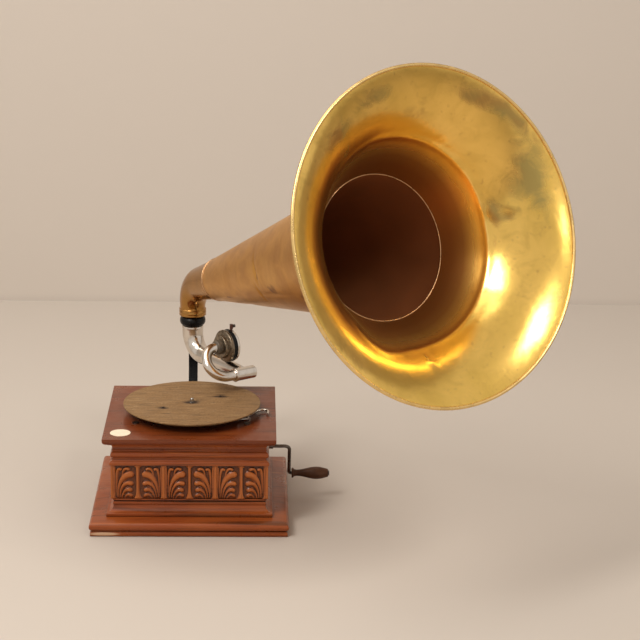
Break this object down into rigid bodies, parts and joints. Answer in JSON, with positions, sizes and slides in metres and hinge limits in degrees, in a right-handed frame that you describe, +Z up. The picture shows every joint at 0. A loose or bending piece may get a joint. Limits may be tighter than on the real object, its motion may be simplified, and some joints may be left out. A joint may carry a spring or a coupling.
{
  "type": "horn gramophone",
  "caption": "Table-top talking machine: square oak case with carved frieze and spring motor, turntable, crank, tapered nickel tone arm and a large flared brass horn on a rear bracket",
  "frame": {"origin": "centre of the plinth's underside, on the table it stands on", "axes": "+X right, +Y back, +Z up, seen from the front"},
  "size_m": [0.8271, 0.8639, 0.8841],
  "materials": {
    "oak": "varnished",
    "raw_wood": "unvarnished",
    "cream_plate": "satin",
    "table_enamel": "worn",
    "steel": "satin",
    "spring_steel": "blued",
    "gear_brass": "satin",
    "black_iron": "japanned",
    "rubber": "matte",
    "pad_leather": "matte",
    "nickel": "worn nickel plate",
    "rod_steel": "dark",
    "grip_wood": "varnished",
    "horn_brass": "tarnished",
    "box_metal": "satin",
    "mica": "clear"
  },
  "bodies": {
    "case": {"plinth": "oak", "bottom_board": "raw_wood", "base_moulding": "oak", "front_board": "oak", "back_board": "oak", "left_board": "oak", "right_board": "oak", "front_frieze": "oak", "left_frieze": "oak", "right_frieze": "oak", "neck_moulding": "oak", "top_board": "oak", "blank_plate": "cream_plate", "brake_pivot": "nickel", "bedplate": "black_iron", "rubber_washers": "rubber", "motor_bolts": "steel", "motor_pillars": "steel", "lower_plate": "black_iron", "governor_posts": "black_iron", "winding_bearing": "black_iron", "crank_bush": "gear_brass", "bracket": "black_iron", "bracket_screws": "steel"},
    "turntable": {"turntable": "table_enamel", "table_rivets": "steel", "spindle": "steel", "spindle_pinion": "gear_brass", "governor_wheel": "gear_brass"},
    "brake": {"brake_lever": "nickel", "brake_pad": "pad_leather"},
    "barrel": {"spring_barrel": "gear_brass", "barrel_cover": "gear_brass", "mainspring": "spring_steel"},
    "winding": {"barrel_arbor": "steel", "winding_wheel": "gear_brass", "ratchet_wheel": "steel"},
    "pawl": {"pawl": "steel"},
    "intermediate": {"intermediate_arbor": "steel", "intermediate_wheel": "gear_brass"},
    "governor": {"governor_shaft": "steel", "governor_weights": "gear_brass", "governor_springs": "spring_steel"},
    "speed_lever": {"speed_lever": "black_iron"},
    "speed_screw": {"speed_screw": "steel"},
    "crank": {"winding_shaft": "steel", "crank_rod": "rod_steel"},
    "crank_grip": {"crank_grip": "grip_wood"},
    "horn": {"horn_elbow": "horn_brass", "horn_cone": "horn_brass", "horn_bell": "horn_brass"},
    "tone_arm": {"tone_arm": "nickel", "crosspiece": "nickel"},
    "gooseneck": {"gooseneck": "nickel"},
    "sound_box": {"rubber_flange": "rubber", "sound_box_body": "box_metal", "diaphragm": "mica", "face_ring": "nickel", "stylus_bar": "steel"},
    "needle_screw": {"needle_screw": "nickel"}
  },
  "joints": [
    {"name": "turntable_spin", "type": "hinge", "parent": "case", "child": "turntable", "pos_m": [0, 0, 0.1959], "axis": [0, 0, 1], "continuous": true},
    {"name": "barrel_turn", "type": "hinge", "parent": "case", "child": "barrel", "pos_m": [0.066, -0.015, 0.08], "axis": [0, 0, 1], "continuous": true},
    {"name": "intermediate_turn", "type": "hinge", "parent": "case", "child": "intermediate", "pos_m": [0.02857, 0.02799, 0.08], "axis": [0, 0, 1], "continuous": true},
    {"name": "governor_turn", "type": "hinge", "parent": "case", "child": "governor", "pos_m": [-0.036, -0.0182, 0.1295], "axis": [1, 0, 0], "continuous": true},
    {"name": "brake_swing", "type": "hinge", "parent": "case", "child": "brake", "pos_m": [0.1047, -0.0303, 0.1815], "axis": [0, 0, 1], "range_deg": [-14, 0]},
    {"name": "pawl_click", "type": "hinge", "parent": "case", "child": "pawl", "pos_m": [0.05, 0.0025, 0.1515], "axis": [0, 0, 1], "range_deg": [-7, 1]},
    {"name": "speed_screw_turn", "type": "hinge", "parent": "case", "child": "speed_screw", "pos_m": [-0.079, 0.076, 0.1765], "axis": [0, 0, 1], "range_deg": [0, 90]},
    {"name": "speed_lever_tilt", "type": "hinge", "parent": "case", "child": "speed_lever", "pos_m": [-0.073, 0.025, 0.1295], "axis": [0, 0, 1], "range_deg": [0, 1.5]},
    {"name": "crank_turn", "type": "hinge", "parent": "case", "child": "crank", "pos_m": [0.162, -0.015, 0.1155], "axis": [1, 0, 0], "continuous": true},
    {"name": "winding_turn", "type": "hinge", "parent": "case", "child": "winding", "pos_m": [0.066, -0.015, 0.11], "axis": [0, 0, 1], "continuous": true},
    {"name": "grip_spin", "type": "hinge", "parent": "crank", "child": "crank_grip", "pos_m": [0.222, 0.01656, 0.05079], "axis": [1, 0, 0], "continuous": true},
    {"name": "horn_swivel", "type": "hinge", "parent": "case", "child": "horn", "pos_m": [-0.006, 0.23, 0.3009], "axis": [0, 0, 1], "continuous": true},
    {"name": "tone_arm_swing", "type": "hinge", "parent": "case", "child": "tone_arm", "pos_m": [-0.006, 0.23, 0.2769], "axis": [0, 0, 1], "range_deg": [-26, 20]},
    {"name": "gooseneck_flip", "type": "hinge", "parent": "tone_arm", "child": "gooseneck", "pos_m": [0.09552, 0.08501, 0.2259], "axis": [0.8192, 0.5736, 0], "range_deg": [0, 125]},
    {"name": "sound_box_turn", "type": "hinge", "parent": "gooseneck", "child": "sound_box", "pos_m": [0.04912, 0.10595, 0.27122], "axis": [0.8192, 0.5736, 0], "range_deg": [-30, 30]},
    {"name": "needle_screw_turn", "type": "hinge", "parent": "sound_box", "child": "needle_screw", "pos_m": [0.07444, 0.1221, 0.3082], "axis": [0.8192, 0.5736, 0], "range_deg": [-180, 180]}
  ],
  "couplings": [
    {"joint": "barrel_turn", "follows": "turntable_spin", "ratio": 0.046875},
    {"joint": "intermediate_turn", "follows": "turntable_spin", "ratio": -0.25},
    {"joint": "governor_turn", "follows": "turntable_spin", "ratio": 12},
    {"joint": "winding_turn", "follows": "crank_turn", "ratio": 0.33333},
    {"joint": "speed_lever_tilt", "follows": "speed_screw_turn", "ratio": 0.016667}
  ]
}
